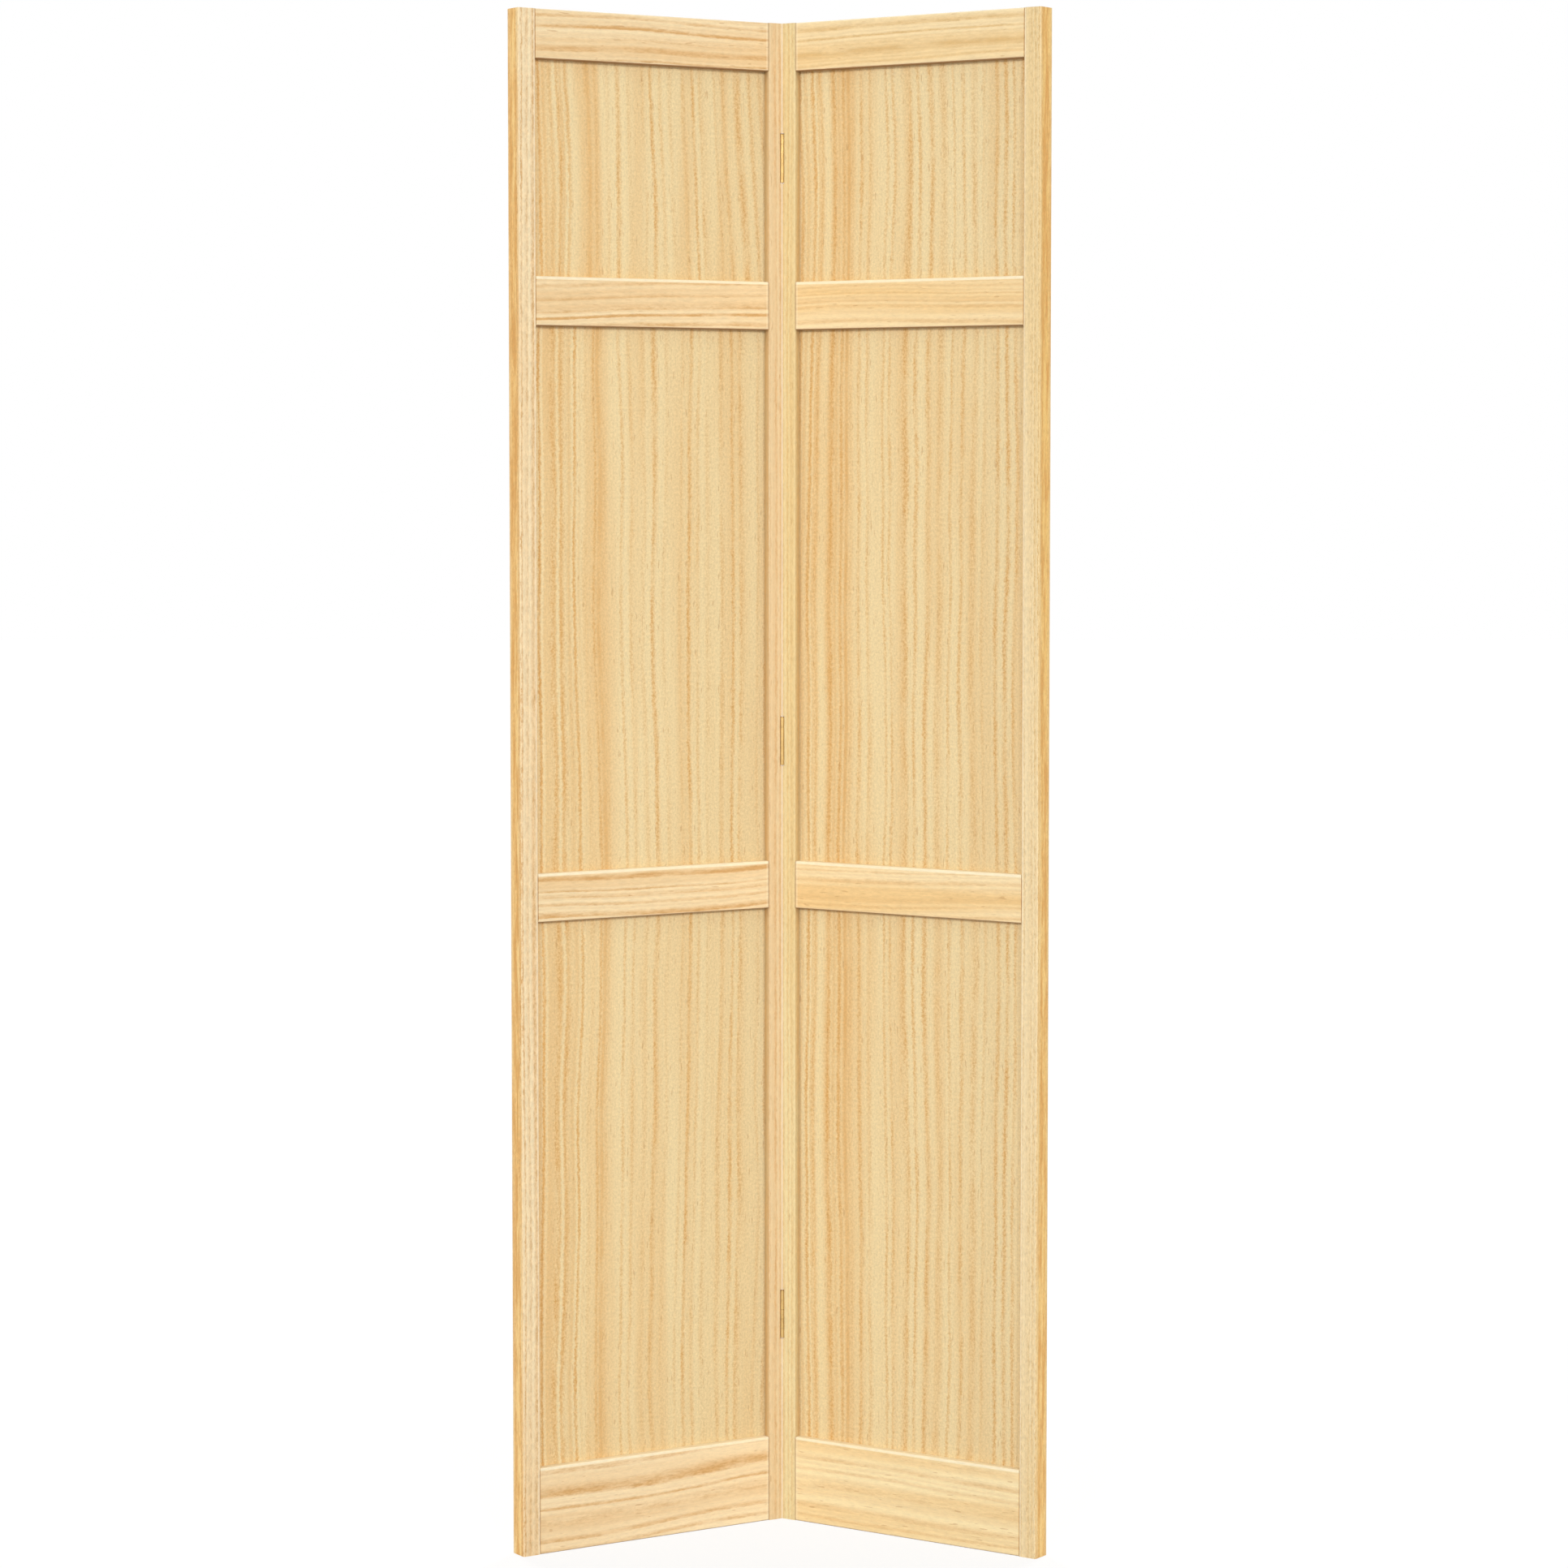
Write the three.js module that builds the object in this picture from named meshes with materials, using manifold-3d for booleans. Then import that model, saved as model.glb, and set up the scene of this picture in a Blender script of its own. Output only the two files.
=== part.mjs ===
import Module from 'manifold-3d';
import * as THREE from 'three';
import { mergeVertices } from 'three/addons/utils/BufferGeometryUtils.js';

// Bifold closet door in clear pine: two stile-and-rail leaves that fold towards each other on three narrow
// butt hinges. Each leaf has two stiles, four dowelled rails and three flat panels floating in grooves.
// Millimetres and degrees, +Z up. The leaves stand part folded, with the fold line at the back and the
// faces that fold together towards -Y. The origin is the centre of the bounding box's underside.

// Door and fold
const doorHeight = 2006.6;
const leafWidth = 400.05;
const leafThickness = 28.575;
const restTurnDegrees = 33.5;
const leafGap = 0.2;

// Stiles and rails
const outerStileWidth = 25.4;
const hingeStileWidth = 20.64;
const topRailHeight = 63.5;
const crossRailHeight = 63.5;
const bottomRailHeight = 114.3;
const topOpeningHeight = 277.5;
const bottomOpeningHeight = 716.5;
const arrisRadius = 2;
const meetingArrisRadius = 0.15;

// Panels, and the grooves that they float in
const panelThickness = 6.35;
const panelEdgeChamfer = 0.8;
const grooveDepth = 9.525;
const expansionGap = 1.6;

// Dowels between rails and stiles
const dowelDiameter = 8;
const dowelLength = 30;
const dowelDepthInStile = 9.5;
const dowelEdgeDistance = 19.05;
const dowelChamfer = 0.8;

// Bores in both ends of the outer stiles, for the pivot and guide pins of the door's track
const pivotBoreDiameter = 9.525;
const pivotBoreDepth = 38.1;
const pivotBoreEdgeDistance = 9.525;

// Hinges
const hingeHeight = 63.5;
const topHingeFromTop = 177.8;
const bottomHingeFromBottom = 279.4;
const hingePinOffset = 0.1;
const hingePinDiameter = 2.6;
const hingePlateThickness = 1.2;
const hingePlateDepth = 19.05;
const hingeCornerRadius = 5;
const knuckleCount = 5;
const pinHeadHeight = 1.4;
const pinTailLength = 0.8;
const pinTailChamfer = 0.4;

// Screw holes in the hinge plates
const screwsPerPlate = 3;
const screwHoleDiameter = 3.2;
const countersinkDiameter = 5.6;
const countersinkDepth = 0.9;
const screwEndDistance = 10;
const screwDepthFromFace = 11.5;

// Clearances
const fitClearance = 0.3;
const cutOverrun = 1;

// Facets
const arrisSegments = 3;
const cornerSegments = 4;
const dowelFacets = 12;
const boreFacets = 16;
const barrelFacets = 16;
const screwFacets = 12;
const headRings = 3;

// Worked out from the sizes above
const railsTogether = topRailHeight + crossRailHeight + crossRailHeight + bottomRailHeight;
const middleOpeningHeight = doorHeight - railsTogether - topOpeningHeight - bottomOpeningHeight;
const grooveWidth = panelThickness + fitClearance + fitClearance;
const grooveNear = (leafThickness - grooveWidth) / 2;
const grooveFar = grooveNear + grooveWidth;
const railStart = hingeStileWidth + fitClearance;
const railEnd = leafWidth - outerStileWidth - fitClearance;
const pinRadius = hingePinDiameter / 2;
const barrelRadius = pinRadius + fitClearance + hingePlateThickness;
const knuckleLength = (hingeHeight - fitClearance * (knuckleCount - 1)) / knuckleCount;
const middleHingeHeight = (doorHeight - topHingeFromTop + bottomHingeFromBottom) / 2;

const wasm = await Module();
wasm.setup();

const alongX = new THREE.Matrix4().makeBasis(
  new THREE.Vector3(0, 1, 0), new THREE.Vector3(0, 0, 1), new THREE.Vector3(1, 0, 0));

// Shapes

// A closed mesh as a solid for joins and cuts, without the flattened triangles at a revolve's axis
function solid(geometry) {
  const bare = geometry.index ? geometry.toNonIndexed() : geometry.clone();
  bare.deleteAttribute('normal');
  bare.deleteAttribute('uv');
  const merged = mergeVertices(bare);
  const corners = merged.index.array;
  const triangles = [];
  for (let start = 0; start < corners.length; start += 3) {
    const [a, b, c] = corners.slice(start, start + 3);
    if (a !== b && b !== c && c !== a) {
      triangles.push(a, b, c);
    }
  }
  return new wasm.Manifold(new wasm.Mesh({
    numProp: 3,
    vertProperties: new Float32Array(merged.attributes.position.array),
    triVerts: new Uint32Array(triangles),
  }));
}

function geometryOf(body) {
  const mesh = body.getMesh();
  const geometry = new THREE.BufferGeometry();
  geometry.setAttribute('position', new THREE.BufferAttribute(mesh.vertProperties, mesh.numProp));
  geometry.setIndex(new THREE.BufferAttribute(mesh.triVerts, 1));
  const flat = geometry.toNonIndexed();
  flat.computeVertexNormals();
  return flat;
}

// Radius of the faceted circle whose flats lie on a circle of the given radius
function acrossFlats(radius, facets) {
  return radius / Math.cos(Math.PI / facets);
}

function arc(centreX, centreY, radius, startDegrees, segments) {
  const points = [];
  for (let step = 0; step <= segments; step += 1) {
    const angle = THREE.MathUtils.degToRad(startDegrees + (90 * step) / segments);
    points.push(new THREE.Vector2(centreX + radius * Math.cos(angle), centreY + radius * Math.sin(angle)));
  }
  return points;
}

function extrudeUp(outline, low, high) {
  const depth = high - low;
  const geometry = new THREE.ExtrudeGeometry(new THREE.Shape(outline), { depth, bevelEnabled: false });
  return geometry.translate(0, 0, low);
}

// Extrudes an outline drawn in y and z along x, between two ends given in either order
function extrudeAcross(outline, from, to) {
  const depth = Math.abs(to - from);
  const geometry = new THREE.ExtrudeGeometry(new THREE.Shape(outline), { depth, bevelEnabled: false });
  return geometry.applyMatrix4(alongX).translate(Math.min(from, to), 0, 0);
}

function box(from, to) {
  const size = new THREE.Vector3().subVectors(to, from);
  const geometry = new THREE.BoxGeometry(Math.abs(size.x), Math.abs(size.y), Math.abs(size.z));
  return geometry.translate((from.x + to.x) / 2, (from.y + to.y) / 2, (from.z + to.z) / 2);
}

function uprightCylinder(radius, facets, x, y, low, high) {
  const geometry = new THREE.CylinderGeometry(radius, radius, high - low, facets);
  return geometry.rotateX(Math.PI / 2).translate(x, y, (low + high) / 2);
}

function levelCylinder(radius, facets, from, to, y, z) {
  const geometry = new THREE.CylinderGeometry(radius, radius, Math.abs(to - from), facets);
  return geometry.rotateZ(Math.PI / 2).translate((from + to) / 2, y, z);
}

// Leaf coordinates: the pin axis is x = 0, y = 0. A place "across" counts from the meeting edge towards the
// outer edge, and a place "in" counts from the near face towards the back.
function xAt(side, across) {
  return side * (leafGap / 2 + across);
}

function yAt(inward) {
  return hingePinOffset + inward;
}

// Heights of the rails and openings, from the floor up
function layout() {
  const bottomRail = { low: 0, high: bottomRailHeight };
  const bottomOpening = { low: bottomRail.high, high: bottomRail.high + bottomOpeningHeight };
  const lowerCrossRail = { low: bottomOpening.high, high: bottomOpening.high + crossRailHeight };
  const middleOpening = { low: lowerCrossRail.high, high: lowerCrossRail.high + middleOpeningHeight };
  const upperCrossRail = { low: middleOpening.high, high: middleOpening.high + crossRailHeight };
  const topOpening = { low: upperCrossRail.high, high: upperCrossRail.high + topOpeningHeight };
  const topRail = { low: topOpening.high, high: topOpening.high + topRailHeight };
  return {
    rails: { bottom_rail: bottomRail, lower_cross_rail: lowerCrossRail, upper_cross_rail: upperCrossRail,
      top_rail: topRail },
    openings: { bottom_panel: bottomOpening, middle_panel: middleOpening, top_panel: topOpening },
  };
}

const { rails, openings } = layout();
const hingeHeights = {
  top_hinge: doorHeight - topHingeFromTop,
  middle_hinge: middleHingeHeight,
  bottom_hinge: bottomHingeFromBottom,
};

function dowelHeights(rail) {
  return { lower: rail.low + dowelEdgeDistance, upper: rail.high - dowelEdgeDistance };
}

// Stiles

// The arrises at the meeting edge are kept small, so that little light shows through at the fold
function stileOutline(side, from, to) {
  const left = Math.min(xAt(side, from), xAt(side, to));
  const right = Math.max(xAt(side, from), xAt(side, to));
  const near = yAt(0);
  const far = yAt(leafThickness);
  const meeting = from === 0 ? meetingArrisRadius : arrisRadius;
  const leftRadius = side > 0 ? meeting : arrisRadius;
  const rightRadius = side < 0 ? meeting : arrisRadius;
  return [
    ...arc(right - rightRadius, far - rightRadius, rightRadius, 0, arrisSegments),
    ...arc(left + leftRadius, far - leftRadius, leftRadius, 90, arrisSegments),
    ...arc(left + leftRadius, near + leftRadius, leftRadius, 180, arrisSegments),
    ...arc(right - rightRadius, near + rightRadius, rightRadius, 270, arrisSegments),
  ];
}

// Grooves stop short behind the rails, just far enough to take the panels' corners
function cutPanelGrooves(body, side, edge, inward) {
  let result = body;
  const mouth = xAt(side, edge - inward * cutOverrun);
  const bottom = xAt(side, edge + inward * grooveDepth);
  for (const { low, high } of Object.values(openings)) {
    const from = new THREE.Vector3(mouth, yAt(grooveNear), low - grooveDepth);
    const to = new THREE.Vector3(bottom, yAt(grooveFar), high + grooveDepth);
    result = result.subtract(solid(box(from, to)));
  }
  return result;
}

function cutStileDowelHoles(body, side, edge, inward) {
  let result = body;
  const radius = acrossFlats(dowelDiameter / 2 + fitClearance, dowelFacets);
  const mouth = xAt(side, edge - inward * cutOverrun);
  const bottom = xAt(side, edge + inward * (dowelDepthInStile + fitClearance));
  for (const rail of Object.values(rails)) {
    for (const height of Object.values(dowelHeights(rail))) {
      const cutter = levelCylinder(radius, dowelFacets, mouth, bottom, yAt(leafThickness / 2), height);
      result = result.subtract(solid(cutter));
    }
  }
  return result;
}

function outerStile(side) {
  const edge = leafWidth - outerStileWidth;
  let body = solid(extrudeUp(stileOutline(side, edge, leafWidth), 0, doorHeight));
  body = cutPanelGrooves(body, side, edge, 1);
  body = cutStileDowelHoles(body, side, edge, 1);
  const radius = pivotBoreDiameter / 2;
  const boreX = xAt(side, leafWidth - pivotBoreEdgeDistance);
  const boreY = yAt(leafThickness / 2);
  const boreEnds = [[-cutOverrun, pivotBoreDepth], [doorHeight - pivotBoreDepth, doorHeight + cutOverrun]];
  for (const [low, high] of boreEnds) {
    body = body.subtract(solid(uprightCylinder(radius, boreFacets, boreX, boreY, low, high)));
  }
  return geometryOf(body);
}

// The meeting edge is let in for the hinge plates, and its near arris for the barrels and pin heads
function hingeStile(side) {
  let body = solid(extrudeUp(stileOutline(side, 0, hingeStileWidth), 0, doorHeight));
  body = cutPanelGrooves(body, side, hingeStileWidth, -1);
  body = cutStileDowelHoles(body, side, hingeStileWidth, -1);
  const barrelRoom = acrossFlats(barrelRadius + fitClearance, barrelFacets);
  for (const height of Object.values(hingeHeights)) {
    const low = height - hingeHeight / 2 - pinTailLength - fitClearance;
    const high = height + hingeHeight / 2 + fitClearance + pinHeadHeight + fitClearance;
    const mortise = extrudeAcross(plateOutline(height, fitClearance), xAt(side, -leafGap),
      xAt(side, hingePlateThickness + fitClearance));
    body = body.subtract(solid(mortise));
    body = body.subtract(solid(uprightCylinder(barrelRoom, barrelFacets, 0, 0, low, high)));
  }
  return geometryOf(body);
}

// Rails

// Section of a rail in y and z, with a groove in each edge that meets a panel
function railOutline(rail, grooveBelow, grooveAbove) {
  const near = yAt(0);
  const far = yAt(leafThickness);
  const { low, high } = rail;
  const lowerGroove = [[grooveNear, low], [grooveNear, low + grooveDepth], [grooveFar, low + grooveDepth],
    [grooveFar, low]];
  const upperGroove = [[grooveFar, high], [grooveFar, high - grooveDepth], [grooveNear, high - grooveDepth],
    [grooveNear, high]];
  const placed = (points) => points.map(([inward, z]) => new THREE.Vector2(yAt(inward), z));
  return [
    ...arc(near + arrisRadius, low + arrisRadius, arrisRadius, 180, arrisSegments),
    ...(grooveBelow ? placed(lowerGroove) : []),
    ...arc(far - arrisRadius, low + arrisRadius, arrisRadius, 270, arrisSegments),
    ...arc(far - arrisRadius, high - arrisRadius, arrisRadius, 0, arrisSegments),
    ...(grooveAbove ? placed(upperGroove) : []),
    ...arc(near + arrisRadius, high - arrisRadius, arrisRadius, 90, arrisSegments),
  ];
}

function railSolid(side, rail) {
  const outline = railOutline(rail, rail.low > 0, rail !== rails.top_rail);
  let body = solid(extrudeAcross(outline, xAt(side, railStart), xAt(side, railEnd)));
  const radius = acrossFlats(dowelDiameter / 2 + fitClearance, dowelFacets);
  for (const [shoulder, direction] of railShoulders()) {
    const mouth = xAt(side, shoulder - direction * cutOverrun);
    const bottom = xAt(side, dowelSpan(shoulder, direction).inRail + direction * fitClearance);
    for (const height of Object.values(dowelHeights(rail))) {
      const cutter = levelCylinder(radius, dowelFacets, mouth, bottom, yAt(leafThickness / 2), height);
      body = body.subtract(solid(cutter));
    }
  }
  return geometryOf(body);
}

// The rails' two ends: the place across the leaf, and the direction from it into the rail
function railShoulders() {
  return [[railStart, 1], [railEnd, -1]];
}

// Where a dowel's two ends lie across the leaf
function dowelSpan(shoulder, direction) {
  const stileEdge = shoulder - direction * fitClearance;
  const inStile = stileEdge - direction * dowelDepthInStile;
  return { inStile, inRail: inStile + direction * dowelLength };
}

function dowelShape(side, shoulder, direction, height) {
  const { inStile, inRail } = dowelSpan(shoulder, direction);
  const radius = dowelDiameter / 2;
  const end = dowelLength / 2;
  const profile = [[0, -end], [radius - dowelChamfer, -end], [radius, dowelChamfer - end],
    [radius, end - dowelChamfer], [radius - dowelChamfer, end], [0, end]];
  const points = profile.map(([x, y]) => new THREE.Vector2(x, y));
  const geometry = new THREE.LatheGeometry(points, dowelFacets).rotateZ(Math.PI / 2);
  return geometry.translate(xAt(side, (inStile + inRail) / 2), yAt(leafThickness / 2), height);
}

// Panels

// The panel rests in the lower groove and has room to swell at its other three edges
function panelShape(side, opening) {
  const reach = grooveDepth - expansionGap;
  const left = Math.min(xAt(side, hingeStileWidth - reach), xAt(side, leafWidth - outerStileWidth + reach));
  const right = Math.max(xAt(side, hingeStileWidth - reach), xAt(side, leafWidth - outerStileWidth + reach));
  const near = yAt(grooveNear + fitClearance);
  const far = near + panelThickness;
  const points = [[left, near + panelEdgeChamfer], [left + panelEdgeChamfer, near],
    [right - panelEdgeChamfer, near], [right, near + panelEdgeChamfer], [right, far - panelEdgeChamfer],
    [right - panelEdgeChamfer, far], [left + panelEdgeChamfer, far], [left, far - panelEdgeChamfer]];
  const outline = points.map(([x, y]) => new THREE.Vector2(x, y));
  return extrudeUp(outline, opening.low - grooveDepth + fitClearance, opening.high + reach);
}

// Hinges

// Outline of a hinge plate in y and z, from the pin axis back, grown by a clearance for its mortise
function plateOutline(height, grow) {
  const back = yAt(hingePlateDepth) + grow;
  const low = height - hingeHeight / 2 - grow;
  const high = height + hingeHeight / 2 + grow;
  const radius = hingeCornerRadius + grow;
  return [
    new THREE.Vector2(0, low),
    ...arc(back - radius, low + radius, radius, 270, cornerSegments),
    ...arc(back - radius, high - radius, radius, 0, cornerSegments),
    new THREE.Vector2(0, high),
  ];
}

function screwHeights(height) {
  const lowest = height - hingeHeight / 2 + screwEndDistance;
  const spacing = (hingeHeight - screwEndDistance - screwEndDistance) / (screwsPerPlate - 1);
  return Array.from({ length: screwsPerPlate }, (_, index) => lowest + spacing * index);
}

// Countersunk hole, its axis pointing from the plate's open face into the wood
function screwHole(side, height) {
  const profile = [[0, -cutOverrun], [countersinkDiameter / 2, -cutOverrun], [countersinkDiameter / 2, 0],
    [screwHoleDiameter / 2, countersinkDepth], [screwHoleDiameter / 2, hingePlateThickness + cutOverrun],
    [0, hingePlateThickness + cutOverrun]];
  const points = profile.map(([x, y]) => new THREE.Vector2(x, y));
  const geometry = new THREE.LatheGeometry(points, screwFacets).rotateZ((-side * Math.PI) / 2);
  return geometry.translate(xAt(side, 0), yAt(screwDepthFromFace), height);
}

// Plate with its share of the knuckles. The left leaf has the odd ones, counted from the bottom.
function hingePlate(side, height) {
  let body = solid(extrudeAcross(plateOutline(height, 0), xAt(side, 0), xAt(side, hingePlateThickness)));
  const firstLow = height - hingeHeight / 2;
  const room = acrossFlats(barrelRadius + fitClearance, barrelFacets);
  for (let index = 0; index < knuckleCount; index += 1) {
    const low = firstLow + index * (knuckleLength + fitClearance);
    const high = low + knuckleLength;
    const own = (index % 2 === 0) === (side < 0);
    if (own) {
      body = body.add(solid(uprightCylinder(barrelRadius, barrelFacets, 0, 0, low, high)));
    } else {
      const notch = uprightCylinder(room, barrelFacets, 0, 0, low - fitClearance, high + fitClearance);
      body = body.subtract(solid(notch));
    }
  }
  const boreRadius = acrossFlats(pinRadius + fitClearance, barrelFacets);
  const bore = uprightCylinder(boreRadius, barrelFacets, 0, 0, firstLow - cutOverrun,
    firstLow + hingeHeight + cutOverrun);
  body = body.subtract(solid(bore));
  for (const screwHeight of screwHeights(height)) {
    body = body.subtract(solid(screwHole(side, screwHeight)));
  }
  return geometryOf(body);
}

// Pin with a domed head on the top knuckle and a chamfered tail below the bottom one
function hingePin(height) {
  const foot = height - hingeHeight / 2 - pinTailLength;
  const seat = height + hingeHeight / 2 + fitClearance;
  const profile = [[0, foot], [pinRadius - pinTailChamfer, foot], [pinRadius, foot + pinTailChamfer],
    [pinRadius, seat]];
  for (let ring = 0; ring <= headRings; ring += 1) {
    const angle = (Math.PI / 2) * (ring / headRings);
    const radius = ring === headRings ? 0 : barrelRadius * Math.cos(angle);
    profile.push([radius, seat + pinHeadHeight * Math.sin(angle)]);
  }
  const points = profile.map(([x, y]) => new THREE.Vector2(x, y));
  return new THREE.LatheGeometry(points, barrelFacets).rotateX(Math.PI / 2);
}

// Materials and assembly

function pine(color) {
  return () => new THREE.MeshStandardMaterial({ color, roughness: 0.62, metalness: 0 });
}

const stilePine = pine(0xeccc99);
const railPine = pine(0xf0d19e);
const panelPine = pine(0xebcc98);
const dowelBeech = pine(0xd9b98a);
const brass = () => new THREE.MeshStandardMaterial({ color: 0xc9a766, roughness: 0.35, metalness: 0.9 });

function piece(name, geometry, material) {
  const mesh = new THREE.Mesh(geometry, material());
  mesh.name = name;
  return mesh;
}

function leaf(label, side) {
  const group = new THREE.Group();
  group.add(piece(`${label}_outer_stile`, outerStile(side), stilePine));
  group.add(piece(`${label}_hinge_stile`, hingeStile(side), stilePine));
  for (const [name, rail] of Object.entries(rails)) {
    group.add(piece(`${label}_${name}`, railSolid(side, rail), railPine));
    const ends = { hinge_side: railShoulders()[0], outer: railShoulders()[1] };
    for (const [end, [shoulder, direction]] of Object.entries(ends)) {
      for (const [level, height] of Object.entries(dowelHeights(rail))) {
        const shape = dowelShape(side, shoulder, direction, height);
        group.add(piece(`${label}_${name}_${end}_${level}_dowel`, shape, dowelBeech));
      }
    }
  }
  for (const [name, opening] of Object.entries(openings)) {
    group.add(piece(`${label}_${name}`, panelShape(side, opening), panelPine));
  }
  for (const [name, height] of Object.entries(hingeHeights)) {
    group.add(piece(`${name}_${label}_plate`, hingePlate(side, height), brass));
  }
  group.rotation.z = -side * THREE.MathUtils.degToRad(restTurnDegrees);
  return group;
}

// How far the rounded arrises reach in front of the pins and behind them at rest
function reaches() {
  const turn = THREE.MathUtils.degToRad(restTurnDegrees);
  const front = (xAt(1, leafWidth) - arrisRadius) * Math.sin(turn)
    - (yAt(0) + arrisRadius) * Math.cos(turn) + arrisRadius;
  const back = (yAt(leafThickness) - meetingArrisRadius) * Math.cos(turn)
    - (xAt(1, 0) + meetingArrisRadius) * Math.sin(turn) + meetingArrisRadius;
  return { front, back };
}

const door = new THREE.Group();
door.add(leaf('left', -1));
door.add(leaf('right', 1));
for (const [name, height] of Object.entries(hingeHeights)) {
  door.add(piece(`${name}_pin`, hingePin(height), brass));
}
const { front, back } = reaches();
door.position.y = (front - back) / 2;

export default door;
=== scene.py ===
import math

import bmesh
import bpy
from mathutils import Matrix, Vector


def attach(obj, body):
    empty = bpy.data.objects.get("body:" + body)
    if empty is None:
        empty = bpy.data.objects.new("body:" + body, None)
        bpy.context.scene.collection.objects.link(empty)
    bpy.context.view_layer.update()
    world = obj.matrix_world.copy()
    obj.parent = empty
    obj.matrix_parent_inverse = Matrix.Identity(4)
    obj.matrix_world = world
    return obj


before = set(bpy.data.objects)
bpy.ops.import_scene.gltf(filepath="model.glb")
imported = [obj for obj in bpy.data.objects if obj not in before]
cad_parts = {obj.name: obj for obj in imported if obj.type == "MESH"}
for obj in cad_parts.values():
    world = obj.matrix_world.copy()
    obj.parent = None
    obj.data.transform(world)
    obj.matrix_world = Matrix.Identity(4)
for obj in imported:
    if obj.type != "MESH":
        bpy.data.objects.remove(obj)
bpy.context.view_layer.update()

# Sizes of the door that the looks need, in metres, as the CAD part has them
REST_TURN = math.radians(33.5)
LEAF_GAP = 0.0002
PIN_LINE = Vector((0, 0.098102, 0))
HINGE_HEIGHTS = (1.8288, 1.0541, 0.2794)
SCREW_SPACING = 0.02175
SCREW_INWARD = 0.0116
SCREW_SUNK = 0.00008

# Which way each leaf goes from the fold
LEAVES = {"left": -1, "right": 1}


# Node helpers

def paint(red, green, blue):
    """A colour from its 0 to 255 screen values, as the linear colour that a socket takes."""
    def linear(value):
        share = value / 255
        return share / 12.92 if share <= 0.04045 else ((share + 0.055) / 1.055) ** 2.4
    return (linear(red), linear(green), linear(blue), 1)


def feed(tree, socket, value):
    """Links a socket, or writes a plain value into it."""
    if isinstance(value, bpy.types.NodeSocket):
        tree.links.new(value, socket)
    else:
        socket.default_value = value


def maths(tree, operation, *values):
    node = tree.nodes.new("ShaderNodeMath")
    node.operation = operation
    for socket, value in zip(node.inputs, values):
        feed(tree, socket, value)
    return node.outputs["Value"]


def times(tree, first, *others):
    result = first
    for other in others:
        result = maths(tree, "MULTIPLY", result, other)
    return result


def plus(tree, first, *others):
    result = first
    for other in others:
        result = maths(tree, "ADD", result, other)
    return result


def less(tree, first, second):
    return maths(tree, "SUBTRACT", first, second)


def larger(tree, first, second):
    return maths(tree, "MAXIMUM", first, second)


def at_most_one(tree, value):
    return maths(tree, "MINIMUM", value, 1)


def without_sign(tree, value):
    return maths(tree, "ABSOLUTE", value)


def vector_of(tree, x=0.0, y=0.0, z=0.0):
    node = tree.nodes.new("ShaderNodeCombineXYZ")
    for socket, value in zip(node.inputs, (x, y, z)):
        feed(tree, socket, value)
    return node.outputs[0]


def noise(tree, vector, waves, offset, detail=2.0, roughness=0.5):
    """Smooth noise about 0.5, with a number of waves per metre along each axis."""
    spread = tree.nodes.new("ShaderNodeVectorMath")
    spread.operation = "MULTIPLY_ADD"
    feed(tree, spread.inputs[0], vector)
    spread.inputs[1].default_value = waves
    feed(tree, spread.inputs[2], offset)
    node = tree.nodes.new("ShaderNodeTexNoise")
    feed(tree, node.inputs["Vector"], spread.outputs["Vector"])
    node.inputs["Scale"].default_value = 1
    node.inputs["Detail"].default_value = detail
    node.inputs["Roughness"].default_value = roughness
    return node.outputs["Fac"]


def centred(tree, value, reach):
    """Noise turned into a number that is seldom more than a quarter of the reach above or below 0."""
    return times(tree, less(tree, value, 0.5), reach)


def ramp(tree, value, low, high, to_low=0.0, to_high=1.0, way="SMOOTHSTEP"):
    """Carries a value from one range to another, held at the ends."""
    node = tree.nodes.new("ShaderNodeMapRange")
    node.interpolation_type = way
    feed(tree, node.inputs["Value"], value)
    feed(tree, node.inputs["From Min"], low)
    feed(tree, node.inputs["From Max"], high)
    feed(tree, node.inputs["To Min"], to_low)
    feed(tree, node.inputs["To Max"], to_high)
    return node.outputs["Result"]


def fading(tree, value, near, far, most=1.0, least=0.0):
    """The most up to a near distance, and the least from a far one."""
    return ramp(tree, value, near, far, most, least)


def blend(tree, factor, first, second, way="MIX"):
    node = tree.nodes.new("ShaderNodeMix")
    node.data_type = "RGBA"
    node.blend_type = way
    feed(tree, node.inputs[0], factor)
    feed(tree, node.inputs[6], first)
    feed(tree, node.inputs[7], second)
    return node.outputs[2]


def split(tree, vector):
    node = tree.nodes.new("ShaderNodeSeparateXYZ")
    feed(tree, node.inputs[0], vector)
    return node.outputs


def bumped(tree, shader, height, strength, distance):
    """Gives a shader a fine relief."""
    bump = tree.nodes.new("ShaderNodeBump")
    bump.inputs["Strength"].default_value = strength
    bump.inputs["Distance"].default_value = distance
    feed(tree, bump.inputs["Height"], height)
    feed(tree, shader.inputs["Normal"], bump.outputs["Normal"])


def new_material(name):
    material = bpy.data.materials.new(name)
    material.use_nodes = True
    tree = material.node_tree
    return material, tree, tree.nodes["Principled BSDF"]


def dress(node, material):
    node.data.materials.clear()
    node.data.materials.append(material)


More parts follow.
